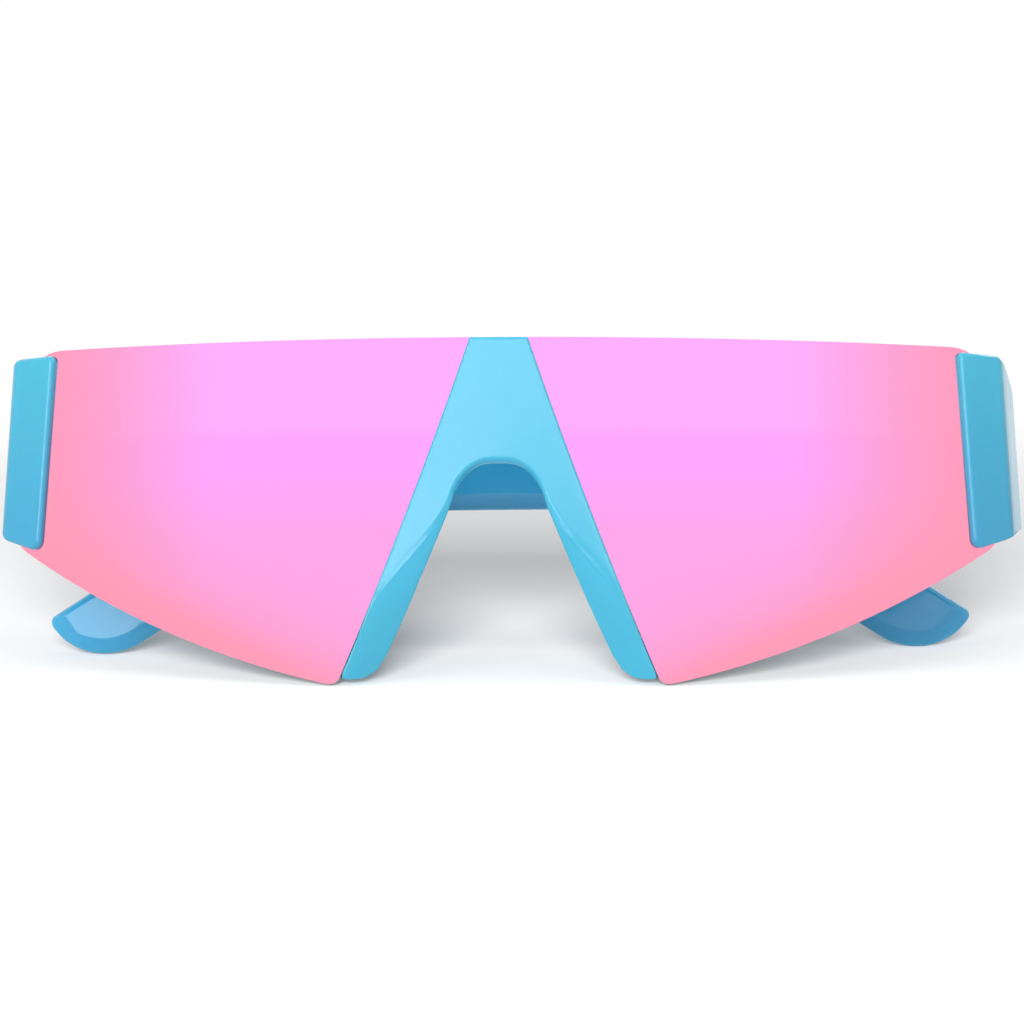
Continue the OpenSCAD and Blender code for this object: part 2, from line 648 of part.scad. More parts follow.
module brow_bar() {
    intersection() {
        shell(seat_r, seat_r - brow_t, -brow_drop - brow_h, -brow_drop);
        inside_lug_face(-lug_t / 2);
        mirror([1, 0, 0]) inside_lug_face(-lug_t / 2);
        translate([-front_w / 2, 0, -lens_h]) cube([front_w, hinge_back, lens_h]);
    }
}
module front_frame() {
    color(frame_blue) standing() difference() {
        union() {
            brow_bar();
            bridge();
            for (side = [-1, 1]) both_sides(side) {
                lug();
                nose_pad();
            }
        }
        arch();
        for (side = [-1, 1]) both_sides(side) {
            leg_bevel();
            leg_splay();
            on_lug(side) leaf_bed(-1);
        }
    }
}

// Temple
module temple(side) {
    on_temple(side) difference() {
        loft(temple_rings);
        leaf_bed(1);
    }
}

// Hinge, drawn at the inner face: along is +1 towards the temple's tip and -1 towards the lens
leaf_h = hinge_h;
stud_places = [0.42, 0.78];
module leaf_bed(along) {
    grow = glue / 2;
    // Pocket of the plate
    translate([-over, along > 0 ? 0 : -leaf_len - grow, -leaf_h / 2 - grow])
        cube([leaf_sink + over + grow, leaf_len + grow, leaf_h + 2 * grow]);
    for (s = stud_places)
        translate([0, along * s * leaf_len, 0]) rotate([0, 90, 0])
            cylinder(d = stud_d + 2 * grow, h = leaf_sink + stud_len + grow);
    // Room for the knuckles
    translate([-pin_inset, 0, -leaf_h / 2 - knuckle_room])
        cylinder(d = knuckle_d + 2 * knuckle_room, h = leaf_h + 2 * knuckle_room);
}
// The knuckles' necks stand proud of the plate by this share of its thickness
neck_share = 0.2;
module leaf(along, slots) {
    difference() {
        union() {
            translate([leaf_low, along > 0 ? leaf_start : -leaf_len, -leaf_h / 2])
                cube([leaf_t, leaf_len - leaf_start, leaf_h]);
            for (k = slots)
                translate([0, 0, -leaf_h / 2 + k * knuckle_step]) {
                    translate([-pin_inset, 0, 0]) cylinder(d = knuckle_d, h = knuckle_h);
                    translate([leaf_low - leaf_t * neck_share, along > 0 ? 0 : -leaf_start - glue, 0])
                        cube([leaf_t, leaf_start + glue, knuckle_h]);
                }
            for (s = stud_places)
                translate([leaf_sink - glue, along * s * leaf_len, 0]) rotate([0, 90, 0])
                    cylinder(d = stud_d, h = stud_len + glue);
        }
        translate([-pin_inset, 0, -leaf_h]) cylinder(d = screw_d + 2 * pin_play, h = 2 * leaf_h);
    }
}
front_slots = [1, 3];
temple_slots = [0, 2, 4];
screw_end_share = 0.25;
slot_share = 0.17;
module hinge_screw(side) {
    end_reach = screw_d * screw_end_share;
    shank = hinge_h + end_reach;
    slot_w = screw_head_d * slot_share;
    on_lug(side) translate([-pin_inset, 0, -hinge_h / 2 - end_reach]) {
        cylinder(d = screw_d, h = shank + screw_head_h / 2);
        translate([0, 0, shank]) difference() {
            cylinder(d = screw_head_d, h = screw_head_h);
            translate([-screw_head_d, -slot_w / 2, screw_head_h / 2]) cube([2 * screw_head_d, slot_w, screw_head_h]);
        }
    }
}

module lens_panel(side) {
    color(mirror_pink) standing() both_sides(side) lens();
}
module block(side) {
    color(frame_blue) standing() both_sides(side) end_block();
}
module temple_arm(side) {
    color(frame_blue) standing() both_sides(side) temple(side);
}
module front_leaf(side) {
    color(hinge_steel) standing() both_sides(side) on_lug(side) leaf(-1, front_slots);
}
module temple_leaf(side) {
    color(hinge_steel) standing() both_sides(side) on_temple(side) leaf(1, temple_slots);
}
module screw(side) {
    color(hinge_steel) standing() both_sides(side) hinge_screw(side);
}

front_frame();
lens_panel(1);  // lens_left
lens_panel(-1);  // lens_right
block(1);  // end_block_left
block(-1);  // end_block_right
temple_arm(1);  // temple_left
temple_arm(-1);  // temple_right
front_leaf(1);  // hinge_front_leaf_left
front_leaf(-1);  // hinge_front_leaf_right
temple_leaf(1);  // hinge_temple_leaf_left
temple_leaf(-1);  // hinge_temple_leaf_right
screw(1);  // hinge_screw_left
screw(-1);  // hinge_screw_right
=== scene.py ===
import json
import math

import bmesh
import bpy
from mathutils import Matrix, Vector

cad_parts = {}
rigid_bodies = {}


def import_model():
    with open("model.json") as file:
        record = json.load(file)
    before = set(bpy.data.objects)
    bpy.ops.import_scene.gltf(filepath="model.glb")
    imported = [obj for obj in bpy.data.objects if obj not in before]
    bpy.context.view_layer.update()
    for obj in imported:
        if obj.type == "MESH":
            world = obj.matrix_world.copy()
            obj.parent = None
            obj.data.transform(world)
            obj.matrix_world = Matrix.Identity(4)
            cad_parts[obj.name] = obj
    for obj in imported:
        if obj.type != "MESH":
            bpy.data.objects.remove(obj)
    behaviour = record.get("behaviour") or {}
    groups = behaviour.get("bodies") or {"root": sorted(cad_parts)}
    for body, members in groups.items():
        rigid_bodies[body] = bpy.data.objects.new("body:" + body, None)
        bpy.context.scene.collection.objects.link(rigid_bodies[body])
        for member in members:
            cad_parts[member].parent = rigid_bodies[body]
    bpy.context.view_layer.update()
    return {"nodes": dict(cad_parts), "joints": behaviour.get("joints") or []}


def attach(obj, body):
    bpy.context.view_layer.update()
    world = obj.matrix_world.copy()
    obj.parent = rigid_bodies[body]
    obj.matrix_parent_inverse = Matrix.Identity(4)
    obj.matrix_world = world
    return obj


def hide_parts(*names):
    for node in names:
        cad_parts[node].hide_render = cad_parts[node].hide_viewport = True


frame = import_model()
print("frame loaded")

# All shapes are drawn in millimetres as worn: x to the wearer's left, y to the back, z up,
# origin at the top middle of the lens front. The stand matrix then leans them back on the floor.
mm = 0.001
hingePlace = dict(back=36.548, middleHeight=-15.225, frontWidth=154.8, lugWall=3.6, pinInset=1.3625)


def standMatrix():
    pin = next(j for j in frame["joints"] if j["name"] == "temple_left_hinge")
    axis, place = Vector(pin["axis"]), Vector(pin["pos_m"])
    turn = Matrix.Rotation(-math.atan2(-axis.y, -axis.z), 4, "X")
    worn = Vector((place.x, hingePlace["back"] * mm, hingePlace["middleHeight"] * mm))
    return Matrix.Translation(place - turn @ worn) @ turn


stand = standMatrix()


def mix(a, b, t):
    return a + (b - a) * t


def smoothStep(a, b, v):
    t = min(max((v - a) / (b - a), 0.0), 1.0)
    return t * t * (3 - 2 * t)


def bowedLine(p, q, bow, steps):
    # a line from p to q that bows out by the given amount to its right-hand side
    along = (q - p).normalized()
    side = Vector((along.y, -along.x))
    return [mix(p, q, i / steps) + side * 4 * bow * (i / steps) * (1 - i / steps)
            for i in range(steps + 1)]


def roundedCorner(a, b, c, radius, steps):
    # the arc that rounds corner b between its neighbours a and c
    u, v = (a - b).normalized(), (c - b).normalized()
    half = u.angle(v) / 2
    middle = b + (u + v).normalized() * radius / math.sin(half)
    start, end = b + u * radius / math.tan(half) - middle, b + v * radius / math.tan(half) - middle
    first = math.atan2(start.y, start.x)
    turn = (math.atan2(end.y, end.x) - first + math.pi) % (2 * math.pi) - math.pi
    angles = [first + turn * i / steps for i in range(steps + 1)]
    return [middle + radius * Vector((math.cos(a), math.sin(a))) for a in angles]


def through(knots, x):
    # smooth value through a list of (place, value) knots
    last = len(knots) - 1
    i = max(k for k in range(last) if k == 0 or x > knots[k][0])

    def slope(k):
        a, b = max(k - 1, 0), min(k + 1, last)
        return (knots[b][1] - knots[a][1]) / (knots[b][0] - knots[a][0])
    width = knots[i + 1][0] - knots[i][0]
    t = min(max((x - knots[i][0]) / width, 0), 1)
    return (knots[i][1] * (2 * t ** 3 - 3 * t ** 2 + 1) + slope(i) * width * (t ** 3 - 2 * t ** 2 + t)
            + knots[i + 1][1] * (3 * t ** 2 - 2 * t ** 3) + slope(i + 1) * width * (t ** 3 - t ** 2))


def newPiece(name, bm, material, standing=True, smoothAngle=35):
    mesh = bpy.data.meshes.new(name)
    bmesh.ops.recalc_face_normals(bm, faces=bm.faces)
    bm.to_mesh(mesh)
    bm.free()
    if standing:
        mesh.transform(stand)
    piece = bpy.data.objects.new(name, mesh)
    bpy.context.scene.collection.objects.link(piece)
    for one in material if isinstance(material, (list, tuple)) else [material]:
        mesh.materials.append(one)
    mesh.shade_smooth()
    mesh.set_sharp_from_angle(angle=math.radians(smoothAngle))
    return piece


def baked(piece):
    # turns what the modifiers make into the piece's own mesh
    bpy.context.view_layer.update()
    seen = piece.evaluated_get(bpy.context.evaluated_depsgraph_get())
    mesh = bpy.data.meshes.new_from_object(seen)
    piece.modifiers.clear()
    piece.data = mesh
    return piece


def loft(rings):
    bm = bmesh.new()
    rows = [[bm.verts.new(p) for p in ring] for ring in rings]
    count = len(rings[0])
    for one, two in zip(rows, rows[1:]):
        for j in range(count):
            k = (j + 1) % count
            bm.faces.new((one[j], one[k], two[k], two[j]))
    bm.faces.new(list(reversed(rows[0])))
    bm.faces.new(rows[-1])
    return bm


def addBevel(piece, width, segments=3, angle=40):
    bevel = piece.modifiers.new("rounding", "BEVEL")
    bevel.width = width * mm
    bevel.segments = segments
    bevel.limit_method = "ANGLE"
    bevel.angle_limit = math.radians(angle)
    bevel.harden_normals = True
    return bevel


def newMaterial(name):
    material = bpy.data.materials.new(name)
    material.use_nodes = True
    tree = material.node_tree
    shader = tree.nodes["Principled BSDF"]
    return material, tree, shader


def addNode(tree, kind, **inputs):
    node = tree.nodes.new(kind)
    for key, value in inputs.items():
        if hasattr(node, key):
            setattr(node, key, value)
        else:
            node.inputs[key.replace("_", " ")].default_value = value
    return node


def math2(tree, operation, a, b=None, clamp=False):
    node = tree.nodes.new("ShaderNodeMath")
    node.operation = operation
    node.use_clamp = clamp
    for i, value in enumerate((a, b)):
        if value is None:
            continue
        if isinstance(value, (int, float)):
            node.inputs[i].default_value = value
        else:
            tree.links.new(value, node.inputs[i])
    return node.outputs[0]


def ramp(tree, value, stops):
    node = tree.nodes.new("ShaderNodeValToRGB")
    node.color_ramp.interpolation = "LINEAR"
    points = node.color_ramp.elements
    while len(points) < len(stops):
        points.new(0.5)
    for point, (place, colour) in zip(points, stops):
        point.position = place
        point.color = (*colour, 1) if isinstance(colour, tuple) else (colour, colour, colour, 1)
    tree.links.new(value, node.inputs["Fac"])
    return node.outputs["Color"]


def wornPlace(tree, place):
    # turns a place on the standing glasses back to the pose as worn
    worn = tree.nodes.new("ShaderNodeMapping")
    back = stand.inverted()
    worn.inputs["Location"].default_value = back.to_translation()
    worn.inputs["Rotation"].default_value = back.to_euler()
    tree.links.new(place, worn.inputs["Vector"])
    parts = tree.nodes.new("ShaderNodeSeparateXYZ")
    tree.links.new(worn.outputs["Vector"], parts.inputs[0])
    return parts.outputs


def mixColour(tree, factor, a, b, blendType="MIX"):
    node = tree.nodes.new("ShaderNodeMix")
    node.data_type = "RGBA"
    node.blend_type = blendType
    for socket, value in ((node.inputs["Factor"], factor), (node.inputs["A"], a), (node.inputs["B"], b)):
        if isinstance(value, (int, float)):
            socket.default_value = value
        elif isinstance(value, tuple):
            socket.default_value = (*value, 1)
        else:
            tree.links.new(value, socket)
    return node.outputs["Result"]


noiseLow, noiseHigh = 0.3, 0.7  # where a noise meets the two ends of a ramp
# the last two entries set how far down the painted shade on the end caps runs
plastic = dict(light=(0.068, 0.560, 0.79), deep=(0.058, 0.530, 0.76), clouds=38.0, cloudStops=(0.32, 0.68),
               roughness=0.16, smoother=0.03, rougher=0.05, specks=900.0, peel=420.0, peelDepth=0.035,
               peelHeight=0.0002, ior=1.5, glow=0.4, glowRadius=(0.25, 0.6, 1.0), glowScale=0.0025,
               shadeHeight=0.029, shadeStops=(0.1, 0.95))


def mouldedBlue(name, plastic):
    # glossy moulded plastic: cloudy colour, speckled gloss and a very fine orange peel
    material, tree, shader = newMaterial(name)
    place = tree.nodes.new("ShaderNodeTexCoord").outputs["Object"]
    clouds = addNode(tree, "ShaderNodeTexNoise", Scale=plastic["clouds"], Detail=3.0, Roughness=0.5)
    tree.links.new(place, clouds.inputs["Vector"])
    blues = list(zip(plastic["cloudStops"], (plastic["deep"], plastic["light"])))
    colour = ramp(tree, clouds.outputs["Fac"], blues)
    # painted shade: multiplies the colour by a ramp down the height, lighter and warmer at the top and darker
    # towards the bottom, as light from above falls on the end caps
    if "shadedLowTint" in plastic:
        down = math2(tree, "DIVIDE", wornPlace(tree, place)["Z"], -plastic["shadeHeight"])
        shadeTints = list(zip(plastic["shadeStops"], (plastic["litTopTint"], plastic["shadedLowTint"])))
        colour = mixColour(tree, 1.0, colour, ramp(tree, down, shadeTints), "MULTIPLY")
    tree.links.new(colour, shader.inputs["Base Color"])
    fine = addNode(tree, "ShaderNodeTexNoise", Scale=plastic["specks"], Detail=2.0)
    tree.links.new(place, fine.inputs["Vector"])
    gloss = ramp(tree, fine.outputs["Fac"], [(noiseLow, plastic["roughness"] - plastic["smoother"]),
                                             (noiseHigh, plastic["roughness"] + plastic["rougher"])])
    tree.links.new(gloss, shader.inputs["Roughness"])
    peel = addNode(tree, "ShaderNodeTexNoise", Scale=plastic["peel"], Detail=1.0)
    tree.links.new(place, peel.inputs["Vector"])
    bump = addNode(tree, "ShaderNodeBump", Strength=plastic["peelDepth"],
                   Distance=plastic["peelHeight"])
    tree.links.new(peel.outputs["Fac"], bump.inputs["Height"])
    tree.links.new(bump.outputs["Normal"], shader.inputs["Normal"])
    shader.inputs["IOR"].default_value = plastic["ior"]
    shader.inputs["Subsurface Weight"].default_value = plastic["glow"]
    shader.inputs["Subsurface Radius"].default_value = plastic["glowRadius"]
    shader.inputs["Subsurface Scale"].default_value = plastic["glowScale"]
    return material


# tints down the lens as shares of its height, then the fades to the outer and the lower edge, in metres. The pink
# is the coat's own; the soft step below the top and the turn to salmon at the edges are painted reflection colour
mirror = dict(top=(1.0, 0.437, 1.0), middle=(1.0, 0.394, 1.0), lower=(1.0, 0.394, 0.85), low=(1.0, 0.394, 0.81),
              outer=(1.0, 0.342, 0.475), height=0.050, step=0.0125, blend=0.04, middleTo=0.39, lowerAt=0.56,
              lowFrom=0.75, halfWidth=0.080,
              outerFade=[(0.50, 0.0), (0.55, 0.05), (0.60, 0.22), (0.72, 0.62), (0.81, 0.84), (0.90, 1.0)],
              edgeStart=0.0236, edgeRise=0.44, edgeLow=0.0530, edgeBand=0.040,
              edgeFade=[(0.04, 0.95), (0.10, 0.72), (0.17, 0.42), (0.25, 0.20), (0.40, 0.04), (0.50, 0.0)],
              film=60.0, roughness=0.13, smoother=0.02, rougher=0.03)


def mirrorCoat(mirror):
    # metal coat whose tint turns from magenta at the top middle to salmon at the outer and lower edges; the turn
    # is painted by place on the lens and stands in for the coat's colour shift with viewing angle, a painted
    # reflection colour
    material, tree, shader = newMaterial("mirrorCoat")
    place = tree.nodes.new("ShaderNodeTexCoord").outputs["Object"]
    parts = wornPlace(tree, place)
    down = math2(tree, "DIVIDE", parts["Z"], -mirror["height"])
    step = mirror["step"] / mirror["height"]
    coat = ramp(tree, down, [(step, mirror["top"]), (step + mirror["blend"], mirror["middle"]),
                             (mirror["middleTo"], mirror["middle"]), (mirror["lowerAt"], mirror["lower"]),
                             (mirror["lowFrom"], mirror["low"])])
    side = math2(tree, "ABSOLUTE", parts["X"])
    outer = ramp(tree, math2(tree, "DIVIDE", side, mirror["halfWidth"]), mirror["outerFade"])
    edge = math2(tree, "MULTIPLY", math2(tree, "SUBTRACT", side, mirror["edgeStart"]), mirror["edgeRise"])
    above = math2(tree, "SUBTRACT", math2(tree, "ADD", parts["Z"], mirror["edgeLow"]), edge)
    lower = ramp(tree, math2(tree, "DIVIDE", above, mirror["edgeBand"]), mirror["edgeFade"])
    left = math2(tree, "MULTIPLY", math2(tree, "SUBTRACT", 1.0, outer), math2(tree, "SUBTRACT", 1.0, lower))
    tint = mixColour(tree, left, mirror["outer"], coat)
    tree.links.new(tint, shader.inputs["Base Color"])
    shader.inputs["Metallic"].default_value = 1.0
    film = addNode(tree, "ShaderNodeTexNoise", Scale=mirror["film"], Detail=3.0)
    tree.links.new(place, film.inputs["Vector"])
    gloss = ramp(tree, film.outputs["Fac"], [(noiseLow, mirror["roughness"] - mirror["smoother"]),
                                             (noiseHigh, mirror["roughness"] + mirror["rougher"])])
    tree.links.new(gloss, shader.inputs["Roughness"])
    return material


smoke = dict(deep=(0.020, 0.018, 0.021), light=(0.032, 0.028, 0.031), clouds=45.0, polished=0.05, dull=0.09,
             ior=1.58)


def smokeLens(smoke):
    # dark tinted lens body, seen at the edges and from behind
    material, tree, shader = newMaterial("smokeLens")
    place = tree.nodes.new("ShaderNodeTexCoord").outputs["Object"]
    cloud = addNode(tree, "ShaderNodeTexNoise", Scale=smoke["clouds"], Detail=2.0)
    tree.links.new(place, cloud.inputs["Vector"])
    colour = ramp(tree, cloud.outputs["Fac"], [(noiseLow, smoke["deep"]), (noiseHigh, smoke["light"])])
    tree.links.new(colour, shader.inputs["Base Color"])
    gloss = ramp(tree, cloud.outputs["Fac"], [(noiseLow, smoke["polished"]), (noiseHigh, smoke["dull"])])
    tree.links.new(gloss, shader.inputs["Roughness"])
    shader.inputs["IOR"].default_value = smoke["ior"]
    return material


steel = dict(rougher=0.08, smoother=0.05, lines=0.12, lineHeight=0.0001)


def brushedMetal(name, light, dark, roughness, grain):
    # fine drawn lines along the direction in which the grain is coarse
    material, tree, shader = newMaterial(name)
    place = tree.nodes.new("ShaderNodeTexCoord").outputs["Object"]
    stretch = tree.nodes.new("ShaderNodeMapping")
    stretch.inputs["Scale"].default_value = grain
    tree.links.new(place, stretch.inputs["Vector"])
    lines = addNode(tree, "ShaderNodeTexNoise", Scale=1.0, Detail=4.0)
    tree.links.new(stretch.outputs["Vector"], lines.inputs["Vector"])
    colour = ramp(tree, lines.outputs["Fac"], [(noiseLow, dark), (noiseHigh, light)])
    tree.links.new(colour, shader.inputs["Base Color"])
    gloss = ramp(tree, lines.outputs["Fac"], [(noiseLow, roughness + steel["rougher"]),
                                              (noiseHigh, roughness - steel["smoother"])])
    tree.links.new(gloss, shader.inputs["Roughness"])
    bump = addNode(tree, "ShaderNodeBump", Strength=steel["lines"], Distance=steel["lineHeight"])
    tree.links.new(lines.outputs["Fac"], bump.inputs["Height"])
    tree.links.new(bump.outputs["Normal"], shader.inputs["Normal"])
    shader.inputs["Metallic"].default_value = 1.0
    return material


blueFrame = mouldedBlue("blueFrame", plastic)
# painted shade: the temples get a bluer copy of the front's plastic, standing in for the bluish shade they sit in
# behind the lenses
shadeBlueTemple = mouldedBlue("shadeBlueTemple", dict(plastic, light=(0.078, 0.550, 0.90), deep=(0.068, 0.520, 0.87),
                                            roughness=0.10))
# the end caps carry painted shade: lighter at the top and darker towards the bottom, as light from above falls on
# them
blueCap = mouldedBlue("blueCap", dict(plastic, roughness=0.20, litTopTint=(1.15, 0.98, 0.93),
                                      shadedLowTint=(0.92, 0.78, 0.86)))
pinkMirror = mirrorCoat(mirror)
darkSmoke = smokeLens(smoke)
hingeSteel = brushedMetal("hingeSteel", (0.62, 0.63, 0.65), (0.42, 0.43, 0.45), 0.3, (3000, 300, 3000))
screwSteel = brushedMetal("screwSteel", (0.7, 0.71, 0.72), (0.5, 0.5, 0.52), 0.22, (900, 900, 4000))
print("materials made")


lens = dict(radius=142.0, thick=1.8, height=50.5, endHeight=28.8, lowBow=2.7, innerCorner=1.8, endTop=6.0,
            endLow=4.0, edgeRound=0.16, stripWidth=1.5, curveSteps=24, cornerSteps=8)
bridge = dict(topWidth=8.4, lowWidth=47.2, bow=0.5, proud=0.3)
block = dict(wall=1.9, flare=8.8, lean=3.4, lugRun=17.5, cornerRound=1.3, cornerSteps=6,
             corners=[((73.98, 19.94, -1.06), (0.0, 0.0, 1.0)), ((75.75, 20.96, -27.93), (0.29, 0.0, -0.957))])


def sag(x, radius):
    return lens["radius"] - math.sqrt(radius * radius - x * x)


def lugFront():
    # how far out the flared lug meets the lens
    return hingePlace["frontWidth"] / 2 - block["lugRun"] * math.tan(math.radians(block["flare"]))


lensEndX = lugFront() + hingePlace["middleHeight"] * math.tan(math.radians(block["lean"])) - block["wall"]
lensEndLowX = lensEndX + lens["endHeight"] * math.tan(math.radians(block["lean"]))
bridgeSide = bowedLine(Vector((bridge["lowWidth"] / 2, -lens["height"])), Vector((bridge["topWidth"] / 2, 0)),
                       -bridge["bow"], lens["curveSteps"])


def lensOutline():
    # from the inner lower corner along the lower edge, up the outer end and back down the bridge
    low = Vector((bridge["lowWidth"] / 2, -lens["height"]))
    outLow = Vector((lensEndLowX, -lens["endHeight"]))
    outTop = Vector((lensEndX, 0))
    lowEdge = bowedLine(low, outLow, lens["lowBow"], lens["curveSteps"])
    steps = lens["cornerSteps"]
    return (roundedCorner(bridgeSide[1], low, lowEdge[1], lens["innerCorner"], steps) + lowEdge[1:-2]
            + roundedCorner(lowEdge[-3], outLow, outTop, lens["endLow"], steps)
            + roundedCorner(outLow, outTop, Vector((0, 0)), lens["endTop"], steps)
            + bridgeSide[:1:-1])


def makeLens(side):
    # a flat panel cut in strips, bent to the lens curve and thickened backwards
    bm = bmesh.new()
    bm.faces.new([bm.verts.new((p.x * mm, 0, p.y * mm)) for p in lensOutline()])
    x = lens["stripWidth"]
    while x < hingePlace["frontWidth"] / 2:
        bmesh.ops.bisect_plane(bm, geom=bm.verts[:] + bm.edges[:] + bm.faces[:], plane_co=(x * mm, 0, 0),
                               plane_no=(1, 0, 0), dist=1e-7)
        x += lens["stripWidth"]
    for v in bm.verts:
        v.co.y = sag(v.co.x / mm, lens["radius"]) * mm
        v.co.x *= side
    mesh = bpy.data.meshes.new("lensPanel")
    bmesh.ops.recalc_face_normals(bm, faces=bm.faces)
    bm.normal_update()
    if sum(f.normal.y for f in bm.faces) > 0:
        bmesh.ops.reverse_faces(bm, faces=bm.faces)
    bm.to_mesh(mesh)
    bm.free()
    mesh.transform(stand)
    name = "lensPanelLeft" if side > 0 else "lensPanelRight"
    piece = bpy.data.objects.new(name, mesh)
    bpy.context.scene.collection.objects.link(piece)
    mesh.materials.append(pinkMirror)
    mesh.materials.append(darkSmoke)
    mesh.shade_smooth()
    thick = piece.modifiers.new("thickness", "SOLIDIFY")
    thick.thickness = lens["thick"] * mm
    thick.offset = -1
    thick.material_offset = 1
    thick.material_offset_rim = 1
    addBevel(piece, lens["edgeRound"], 3, 45)
    node = "lens_left" if side > 0 else "lens_right"
    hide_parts(node)
    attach(piece, "front")
    return piece


for side in (1, -1):
    makeLens(side)
print("lenses made")


moulding = dict(voxel=0.21, rounds=3, keep=0.4, cutFrom=(7.683, -24.79), cutTo=(18.861, -39.139), cutAngle=24.0,
                cutInner=2.95, top=-16, outer=26, back=9, skinStart=0.3, skin=2.2, archCorner=(1.2, -24.2),
                archRadius=6.3, archTurn=15, archSteps=6, sweep=0.56, softArch=0.5, softLeg=2.1, softFrom=-23,
                softTo=-33,
                crease=[(8.0, -24.3), (9.5, -27.4), (12.6, -32.6), (15.0, -35.6), (17.8, -38.9), (20.8, -43.3),
                        (22.6, -47.6), (24.4, -52.0)])


def creaseLine():
    # runs round the arch and then down the leg, where the face turns into the side bevel
    middle, radius = Vector(moulding["archCorner"]), moulding["archRadius"]
    turns = [math.radians(90 - moulding["archTurn"] * i) for i in range(moulding["archSteps"])]
    arch = [middle + radius * Vector((math.cos(a), math.sin(a))) for a in turns]
    return [Vector((-2.0, arch[0].y))] + arch + [Vector(p) for p in moulding["crease"]]


def pastCrease(line, point):
    # distance from the line, positive on the side of the nose
    best, side = 1e9, 1
    for a, b in zip(line, line[1:]):
        along = b - a
        t = min(max((point - a).dot(along) / along.length_squared, 0), 1)
        gap = (point - a - along * t).length
        if gap < best - 1e-9:
            best = gap
            side = 1 if along.x * (point.y - a.y) - along.y * (point.x - a.x) < 0 else -1
    return best * side


def sweepLegs(piece):
    # replaces the flat cut on each leg by a face that rolls off softly along the crease line
    m = moulding
    back, line = stand.inverted(), creaseLine()
    run = Vector(m["cutTo"]) - Vector(m["cutFrom"])
    startY, endY = (sag(m[k][0], lens["radius"]) - bridge["proud"] for k in ("cutFrom", "cutTo"))
    cut = math.radians(m["cutAngle"])
    down = Matrix.Rotation(-math.atan2(run.y, run.x), 3, "Y")
    inward = Matrix.Rotation(math.atan2(endY - startY, run.length), 3, "Z")
    facing = down @ inward @ Vector((0, math.cos(cut), math.sin(cut)))
    for v in piece.data.vertices:
        worn = back @ v.co / mm
        side = 1 if worn.x > 0 else -1
        x, z = abs(worn.x), worn.z
        if z > m["top"] or x > m["outer"] or worn.y > m["back"]:
            continue
        base = sag(x, lens["radius"]) - bridge["proud"]
        # where the flat cut of the solid lies, so that the skin is moved from it to the soft roll
        plane = startY - (facing.x * (x - m["cutFrom"][0]) + facing.z * (z - m["cutFrom"][1])) / facing.y
        packed = max(base, plane) if x > m["cutInner"] else base
        depth = worn.y - packed
        if depth > m["skin"]:
            continue
        past = pastCrease(line, Vector((x, z)))
        width = mix(m["softArch"], m["softLeg"], smoothStep(m["softFrom"], m["softTo"], z))
        drop = 0 if past < -width else past if past > width else (past + width) ** 2 / (4 * width)
        move = (base + drop * m["sweep"] - packed) * (1 - smoothStep(m["skinStart"], m["skin"], depth))
        v.co = stand @ (Vector((side * x, worn.y + move, z)) * mm)


padEnds = dict(legStart=(6.751, -22.202), legLean=19.795, top=-30, outer=30, liftFrom=13.0, liftTo=24.0, lift=1.3,
               shallow=1.5, deep=7.0)


def liftPadEnds(piece):
    # rounds the lower ends of the nose pads up and back, so that the feet stay slim from the front
    p = padEnds
    back, lean = stand.inverted(), math.radians(p["legLean"])
    down = Vector((math.sin(lean), -math.cos(lean)))
    for v in piece.data.vertices:
        worn = back @ v.co / mm
        x, z = abs(worn.x), worn.z
        if z > p["top"] or x > p["outer"]:
            continue
        along = (Vector((x, z)) - Vector(p["legStart"])).dot(down)
        depth = worn.y - sag(x, lens["radius"]) + bridge["proud"]
        move = (-p["lift"] * smoothStep(p["liftFrom"], p["liftTo"], along)
                * smoothStep(p["shallow"], p["deep"], depth))
        x += down.x * move
        v.co = stand @ (Vector((math.copysign(x, worn.x), worn.y, z + down.y * move)) * mm)


legShape = dict(widen=[(-50.0, 0.0), (-48.1, -0.44), (-46.0, 0.0), (-43.7, 0.17), (-40.8, 0.34), (-37.9, 0.46),
                       (-32.0, 0.56), (-26.1, 0.63), (-22.0, 0.62), (-17.0, 0.62), (-13.0, 0.0)],
                top=-13, outer=30, full=1.5, none=4.6, archHalf=6.0)


def fillLegs(piece):
    # makes the arch narrower and each leg fuller on its nose side, and slimmer just above the foot
    p = legShape
    back, lean = stand.inverted(), math.radians(padEnds["legLean"])
    across = Vector((math.cos(lean), math.sin(lean)))
    for v in piece.data.vertices:
        worn = back @ v.co / mm
        x, z = abs(worn.x), worn.z
        if z > p["top"] or x > p["outer"]:
            continue
        inside = (Vector((x, z)) - Vector(padEnds["legStart"])).dot(across)
        share = (1 - smoothStep(p["full"], p["none"], inside)) * min(x / p["archHalf"], 1)
        x -= through(p["widen"], z) * share
        v.co = stand @ (Vector((math.copysign(x, worn.x), worn.y, z)) * mm)


def mouldedCopy(node, name, voxel, rounds):
    # the solid's own shape with every edge softened, as a moulding tool leaves it
    bm = bmesh.new()
    bm.from_mesh(frame["nodes"][node].data)
    bmesh.ops.remove_doubles(bm, verts=bm.verts, dist=1e-6)
    piece = newPiece(name, bm, blueFrame, False)
    remesh = piece.modifiers.new("remesh", "REMESH")
    remesh.mode = "VOXEL"
    remesh.voxel_size = voxel * mm
    soft = piece.modifiers.new("soft", "SMOOTH")
    soft.factor = 0.5
    soft.iterations = rounds
    baked(piece)
    piece.data.materials.clear()
    piece.data.materials.append(blueFrame)
    return piece


frontFrame = mouldedCopy("front_frame", "frontFrame", moulding["voxel"], moulding["rounds"])
sweepLegs(frontFrame)
liftPadEnds(frontFrame)
fillLegs(frontFrame)
thin = frontFrame.modifiers.new("thin", "DECIMATE")
thin.ratio = moulding["keep"]
baked(frontFrame).data.shade_smooth()
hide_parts("front_frame")
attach(frontFrame, "front")
print("front frame made", len(frontFrame.data.polygons))


